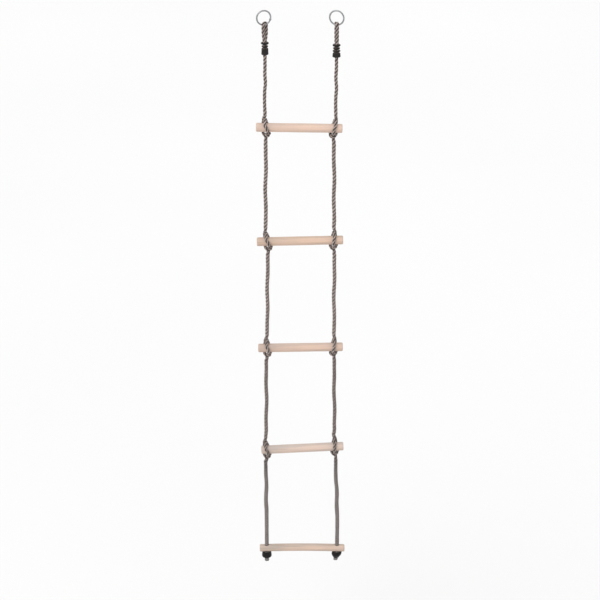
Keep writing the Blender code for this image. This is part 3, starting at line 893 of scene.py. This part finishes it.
# ---------------- clamps
# The flange's outline from its top down: share of its radius, height.
FLANGE_OUTLINE = ((0.84, 0.0), (0.96, -0.0014), (1.0, -0.0036), (0.94, -0.0064))
FLANGE_FOOT = -0.0079
# Each rib's depth below the clamp's top and its radius. Then a rib's outline about its middle: its
# top and foot at the neck, and how far its edge is cut back at which heights.
RIBS = {"left": ((0.0146, 0.0126),), "right": ((0.0142, 0.0128), (0.0234, 0.0134))}
RIB_TOP, RIB_FOOT = 0.0028, -0.0029
RIB_EDGE = ((0.0003, 0.0017), (0.0, 0.0007), (0.0, -0.0010), (0.0005, -0.0019))
# Half the necks' width, being flat at the sides.
NECK_WIDTHS = {"left": 0.0060, "right": 0.0068}
CLAMP_WALL = 0.0008
# The threaded stem: its crests' radius, their depth, and shares of a turn where root and crest are.
STEM_RADIUS = 0.0106
THREAD_TURNS = 4
THREAD_DEPTH = 0.0007
THREAD_START = 0.0025
THREAD_ROOT, THREAD_CREST = 0.1, 0.6
# The nuts: depths of top and foot below the clamp's top, radii, and the share their shoulders drop.
NUT_TOPS = {"left": 0.0222, "right": 0.0308}
NUT_FEET = {"left": 0.0434, "right": 0.0442}
NUT_RADII = {"left": 0.0122, "right": 0.0139}
NUT_ROUNDS = {"left": 0.05, "right": 0.12}
NUT_SHOULDER = 0.94
NUT_SHOULDER_STEPS = 4
NUT_FLOOR = 0.84
NUT_OUTLINE = ((0.96, 0.45), (1.0, NUT_FLOOR), (0.95, 0.95), (0.78, 1.0))
NUT_FOOT_BULGE = 0.0006
THREAD_CLEARANCE = 0.0004
FLUTES = 11
FLUTE_DEPTH = 0.0013
# Room round the rope in the nut's hole and in the collet.
NUT_HOLE_ROOM = 0.0006
COLLET_ROOM = 0.0010
COLLET_TAPER = 0.0026
COLLET_TEETH = 4
TOOTH_DEPTH = 0.0004


def clamp_body(side):
    """Flange and sharp grip ribs above a threaded stem."""
    flange, height, _, top = sizes(f"clamp_body_{side}")
    neck, bore, root = NECK_DEPTH, NECK_DEPTH - CLAMP_WALL, STEM_RADIUS - THREAD_DEPTH
    profile = [(bore, 0.0)] + [(flange * share, up) for share, up in FLANGE_OUTLINE]
    profile.append((neck, FLANGE_FOOT))
    for middle, rib in RIBS[side]:
        profile.append((neck, RIB_TOP - middle))
        profile += [(rib - cut, up - middle) for cut, up in RIB_EDGE]
        profile.append((neck, RIB_FOOT - middle))
    thread_top = -NUT_TOPS[side] - THREAD_START
    rise = (-height - thread_top) / THREAD_TURNS
    profile.append((neck, thread_top))
    for i in range(THREAD_TURNS):
        profile.append((root, thread_top + rise * (i + THREAD_ROOT)))
        profile.append((STEM_RADIUS, thread_top + rise * (i + THREAD_CREST)))
    profile += [(root, -height), (bore, -height)]

    def flatten(radius, up, angles):
        narrow = np.interp(radius, [0.0, neck, flange], [0.0, NECK_WIDTHS[side], flange])
        if up < thread_top - 0.0001:
            narrow = radius
        return 1 / np.hypot(np.cos(angles) / narrow, np.sin(angles) / radius) - radius

    body = lathe(f"clamp_shell_{side}", rounded(profile, 0.0005), CLAMP_BLACK, 96, flatten)
    stand_for(body, clamp_x(side), top, "top_ropes", f"clamp_body_{side}")


def clamp_nut(side):
    """A fluted cap nut, hollow, that the single rope leaves through."""
    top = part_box(f"clamp_body_{side}")[1].z - NUT_TOPS[side]
    height = NUT_FEET[side] - NUT_TOPS[side]
    radius, bore, hole = NUT_RADII[side], STEM_RADIUS + THREAD_CLEARANCE, TOP_ROPE_RADIUS + NUT_HOLE_ROOM
    lip, shoulder = bore + 0.0004, radius * NUT_SHOULDER
    profile = [(bore, 0.0)]
    for i in range(NUT_SHOULDER_STEPS + 1):
        angle = math.pi / 2 * i / NUT_SHOULDER_STEPS
        outward = lip + (shoulder - lip) * math.sin(angle)
        profile.append((outward, -height * NUT_ROUNDS[side] * (1 - math.cos(angle))))
    profile += [(radius * share, -down * height) for share, down in NUT_OUTLINE]
    profile += [(hole, -height - NUT_FOOT_BULGE), (hole, -NUT_FLOOR * height), (bore, -NUT_FLOOR * height)]

    def flutes(r, up, angles):
        if r < shoulder:
            return 0.0
        return -FLUTE_DEPTH * (0.5 - 0.5 * np.cos(FLUTES * angles)) ** 3

    nut = lathe(f"clamp_ring_nut_{side}", rounded(profile, 0.0006), BLACK, 176, flutes)
    stand_for(nut, clamp_x(side), top, f"nut_{side}", f"clamp_nut_{side}")


def clamp_collet(side):
    """The ring that the nut presses on the rope, with shallow teeth inside."""
    radius, height, foot, _ = sizes(f"clamp_collet_{side}")
    bore = TOP_ROPE_RADIUS + COLLET_ROOM
    profile = [(bore, height), (radius - COLLET_TAPER, height), (radius, height / 2), (radius, 0.0)]
    profile.append((bore, 0.0))
    for i in range(COLLET_TEETH):
        profile.append((bore + TOOTH_DEPTH, height * (i + 0.5) / (COLLET_TEETH + 0.4)))
        profile.append((bore, height * (i + 0.9) / (COLLET_TEETH + 0.4)))
    collet = lathe(f"clamp_collet_ring_{side}", rounded(profile, 0.0003, 2), GREY, 48)
    stand_for(collet, clamp_x(side), foot, f"collet_{side}", f"clamp_collet_{side}")


# ---------------- rungs
RUNG_SIDES, RUNG_STEPS, RUNG_END_STEPS = 64, 120, 6
RUNG_END_DEPTH = 0.26
# Uneven along the rung: share of the radius, radians per metre, and what the rung's number shifts.
RUNG_SWELLS = ((0.006, 37, 1), (0.004, 91, 2))
RUNG_OVAL = 0.004
RUNG_FULLNESS = 0.994
# The share of its bow by which the bottom rung's middle is lifted.
BOW_LIFT = 0.68
# The holes' drill, as shares of the rung's radius: where the mouth's ease starts, ends, and its reach.
DRILL_DEPTHS = (0.90, 1.06, 2)
DRILL_SIDES = 40
POINT_RADIUS = 1e-5


def wooden_rung(rung):
    """A turned bar with eased ends, very slightly out of round, with its grain along it."""
    reach, ease, number = rung.length / 2, RUNG_END_EASE, rung.number
    quarter = [math.pi / 2 * i / RUNG_END_STEPS for i in range(RUNG_END_STEPS + 1)]
    stations = [-reach + ease * (1 - math.cos(angle)) for angle in quarter]
    middle = np.linspace(-reach + ease, reach - ease, RUNG_STEPS)[1:-1]
    stations = np.concatenate([stations, middle, -np.array(stations)[::-1]])
    theta = np.arange(RUNG_SIDES) * 2 * math.pi / RUNG_SIDES
    verts = []
    for s in stations:
        into = max(0.0, abs(s) - (reach - ease)) / ease
        corner = 1 - RUNG_END_DEPTH * (1 - math.sqrt(max(0.0, 1 - min(into, 1.0) ** 2)))
        swell = 1 + sum(size * math.sin(s * rate + shift * number) for size, rate, shift in RUNG_SWELLS)
        r = (rung.radius - 0.0001) * corner * swell * RUNG_FULLNESS
        r = r * (1 + RUNG_OVAL * np.cos(2 * theta + number))
        rise = BOTTOM_RUNG_BOW * (BOW_LIFT - (s / reach) ** 2) if number == RUNG_COUNT else 0.0
        along = np.full(RUNG_SIDES, s)
        verts.append(np.stack([along, r * np.cos(theta), r * np.sin(theta) + rise], axis=1))
    faces = capped(len(stations), RUNG_SIDES)
    piece = new_object(f"wooden_rung_{number}", np.concatenate(verts), faces, PINES[number - 1])
    piece.matrix_world = rung.matrix
    piece.data.set_sharp_from_angle(angle=WOOD_SHARP_ANGLE)
    return piece


def drill(piece, rung):
    """The rope holes through the bottom rung, with their mouths eased."""
    inner, outer, reach = (rung.radius * share for share in DRILL_DEPTHS)
    corners = [(POINT_RADIUS, -reach), (HOLE_MOUTH_RADIUS, -reach), (HOLE_MOUTH_RADIUS, -outer)]
    corners.append((HOLE_RADIUS, -inner))
    corners += [(r, -z) for r, z in corners[::-1]]
    angles = np.arange(DRILL_SIDES) * 2 * math.pi / DRILL_SIDES
    rings = [circle(r, angles, z) for r, z in corners]
    for side in SIDES:
        cutter = new_object("drill", np.concatenate(rings), capped(len(rings), DRILL_SIDES), PINES[-1])
        cutter.location = (tail_x(side), 0.0, rung.middle.z)
        hole = piece.modifiers.new("hole", "BOOLEAN")
        hole.operation = "DIFFERENCE"
        hole.solver = "EXACT"
        hole.object = cutter
        bpy.context.view_layer.update()
        solved = piece.evaluated_get(bpy.context.evaluated_depsgraph_get())
        drilled = bpy.data.meshes.new_from_object(solved)
        piece.modifiers.clear()
        piece.data = drilled
        bpy.data.objects.remove(cutter)
    piece.data.shade_smooth()
    piece.data.set_sharp_from_angle(angle=WOOD_SHARP_ANGLE)


def rungs():
    for rung in RUNGS:
        piece = wooden_rung(rung)
        if rung.number == RUNG_COUNT:
            drill(piece, rung)
        stand_for(piece, rung.middle.x, rung.middle.z, rung.node, rung.node)


# ---------------- rope ends under the bottom rung
# Each cap's outline from its collar down: share of the widest radius, share of the height.
CAP_OUTLINES = {
    "left": (
        (0.91, 0.0), (0.94, 0.03), (0.955, 0.2), (0.985, 0.36), (1.01, 0.52), (1.01, 0.7),
        (0.98, 0.77), (0.9, 0.84), (0.77, 0.91), (0.64, 0.96), (0.54, 1.0),
    ),
    "right": (
        (0.96, 0.0), (1.0, 0.03), (1.03, 0.16), (1.04, 0.32), (1.01, 0.44), (0.94, 0.55),
        (0.84, 0.67), (0.73, 0.79), (0.62, 0.9), (0.55, 0.96), (0.5, 1.0),
    ),
}
# Shares of a cap's widest radius and height: its inside, its floor, and where its fine ribs are.
CAP_INSIDE, CAP_FLOOR = 0.74, 0.84
RIBBED_OUTSIDE, RIBBED_BELOW = 0.80, -0.05
CAP_RIBS = 24
CAP_RIB_HEIGHT = 0.00022
CAP_HOLE_ROOM = 0.0005
WEDGE_ROOM = 0.0001
WEDGE_TOP = 0.985
WEDGE_FOOT_WALL = 0.0013
WEDGE_TEETH = 6
TIP_SIDES, TIP_STEPS = 48, 22
# The share of the tip that widens, from how narrow, how the rest spreads and how blunt it ends.
TIP_COLLAR = 0.12
TIP_START = 0.88
TIP_SPREAD = 0.04
TIP_BLUNTNESS = 14
TIP_END_RADIUS = 0.06


def end_cap(side):
    """A bell-shaped cap: straight collar, full shoulder, closing in to a small foot."""
    widest, height, _, top = sizes(f"end_cap_{side}")
    hole = TAIL_ROPE_RADIUS + CAP_HOLE_ROOM
    profile = [(widest * CAP_INSIDE, 0.0)]
    profile += [(widest * across, -height * down) for across, down in CAP_OUTLINES[side]]
    profile += [(hole, -height), (hole, -CAP_FLOOR * height)]

    def ribs(r, up, angles):
        if r < widest * RIBBED_OUTSIDE or up > RIBBED_BELOW * height:
            return 0.0
        return CAP_RIB_HEIGHT * np.cos(CAP_RIBS * angles)

    cap = lathe(f"bell_cap_{side}", rounded(profile, 0.0006, 2), CAP_BLACK, 144, ribs, CAP_SHEARS[side])
    stand_for(cap, tail_x(side), top, "rope_tails", f"end_cap_{side}")


def grip_wedge(side):
    """The tapered sleeve inside the cap, with teeth that bite the rope."""
    radius, height, _, top = sizes(f"grip_wedge_{side}")
    bore = TAIL_ROPE_RADIUS + WEDGE_ROOM
    profile = [(bore, 0.0), (radius * WEDGE_TOP, 0.0), (bore + WEDGE_FOOT_WALL, -height), (bore, -height)]
    for i in range(WEDGE_TEETH):
        profile.append((bore, -height * (1 - (i + 0.4) / (WEDGE_TEETH + 0.6))))
        profile.append((bore + TOOTH_DEPTH, -height * (1 - (i + 0.9) / (WEDGE_TEETH + 0.6))))
    wedge = lathe(f"grip_sleeve_{side}", rounded(profile, 0.0002, 2), GREY, 48, shear=CAP_SHEARS[side])
    stand_for(wedge, tail_x(side), top, "rope_tails", f"grip_wedge_{side}")


def rope_tip(side):
    """The rope's melted end, spread and blunt, leaning a little on the right."""
    radius, height, _, top = sizes(f"rope_tip_{side}")
    radius, height, shear = radius * TIP_WIDENING, height * TIP_STRETCHES[side], CAP_SHEARS[side]
    theta = np.arange(TIP_SIDES) * 2 * math.pi / TIP_SIDES
    shift = shear * sizes(f"end_cap_{side}")[3] - shear * top
    verts = []
    for i in range(TIP_STEPS + 1):
        t = i / TIP_STEPS
        if t < TIP_COLLAR:
            r = radius * (TIP_START + (1 - TIP_START) * math.sin(math.pi / 2 * t / TIP_COLLAR))
        else:
            past = t - TIP_COLLAR
            end = math.sqrt(max(0.0, 1 - (past / (1 - TIP_COLLAR)) ** TIP_BLUNTNESS))
            r = radius * (1 + TIP_SPREAD * past) * end
        lobes = 1 - 0.035 * (1 + np.cos(3 * theta + 5 * t)) - 0.018 * np.cos(7 * theta - 4 * t + 1)
        r = max(r, radius * TIP_END_RADIUS) * lobes
        verts.append(circle(r, theta, -height * t, shift + shear * height * t))
    faces = [face[::-1] for face in capped(TIP_STEPS + 1, TIP_SIDES)]
    tip = new_object(f"melted_tip_{side}", np.concatenate(verts), faces, TIP)
    stand_for(tip, tail_x(side), top, "rope_tails", f"rope_tip_{side}")


# ---------------- floor, light and camera
WORLD_STRENGTH = 0.86
FLOOR_REACH = 60.0
FLOOR_DROP = 0.60
SUN_DIRECTION = (-1.6, -2.2, 3.2)
SUN_STRENGTH = 1.62
SUN_SPREAD_DEG = 35
CAMERA_DISTANCE = 7.1
CAMERA_ELEVATION_DEG = 23.57
CAMERA_LENS = 121.3
CAMERA_SENSOR = 36.0
CAMERA_CLIP_END = 200.0
CAMERA_AIM = (-0.0007, 0.0, 1.0539)


def aimed(name, data, place, away):
    """A light or camera put in its place, looking back along the way it is away."""
    thing = bpy.data.objects.new(name, data)
    thing.location = place
    thing.rotation_euler = (-away).to_track_quat("-Z", "Y").to_euler()
    bpy.context.scene.collection.objects.link(thing)
    return thing


def studio():
    """A wide pale floor well below the ladder, white light from all round and one soft sun."""
    world = bpy.data.worlds.new("studio")
    bpy.context.scene.world = world
    world.use_nodes = True
    sky = world.node_tree.nodes["Background"].inputs
    sky["Color"].default_value = (1.0, 1.0, 1.0, 1.0)
    sky["Strength"].default_value = WORLD_STRENGTH
    n = Nodes("floor")
    pale = n.noise(n.place, 0.3, 1.0)
    finish = n.finish(n.grey(pale, (0.3, 0.775), (0.7, 0.79)), 0.9)
    corners = [(FLOOR_REACH * x, FLOOR_REACH * y, 0.0) for x, y in ((-1, -1), (1, -1), (1, 1), (-1, 1))]
    floor = new_object("floor", corners, [(0, 1, 2, 3)], finish)
    floor.location.z = CAD_BOX[0][2] - FLOOR_DROP
    sun = bpy.data.lights.new("key", "SUN")
    sun.energy = SUN_STRENGTH
    sun.angle = math.radians(SUN_SPREAD_DEG)
    aimed("key", sun, SUN_DIRECTION, Vector(SUN_DIRECTION))
    bpy.context.scene.view_settings.view_transform = "Standard"


def camera():
    """Level with the middle of the ladder's width, above it and far back."""
    elevation = math.radians(CAMERA_ELEVATION_DEG)
    away = Vector((0.0, -math.cos(elevation), math.sin(elevation)))
    data = bpy.data.cameras.new("camera")
    data.sensor_width = CAMERA_SENSOR
    data.lens = CAMERA_LENS
    data.clip_end = CAMERA_CLIP_END
    place = Vector(CAMERA_AIM) + away * CAMERA_DISTANCE
    bpy.context.scene.camera = aimed("camera", data, place, away)


# ---------------- the whole ladder
def ladder():
    for side in SIDES:
        rope_pieces(side)
        clamp_body(side)
        clamp_nut(side)
        clamp_collet(side)
        end_cap(side)
        grip_wedge(side)
        rope_tip(side)
        steel_ring(side)
    rungs()


ladder()
studio()
camera()
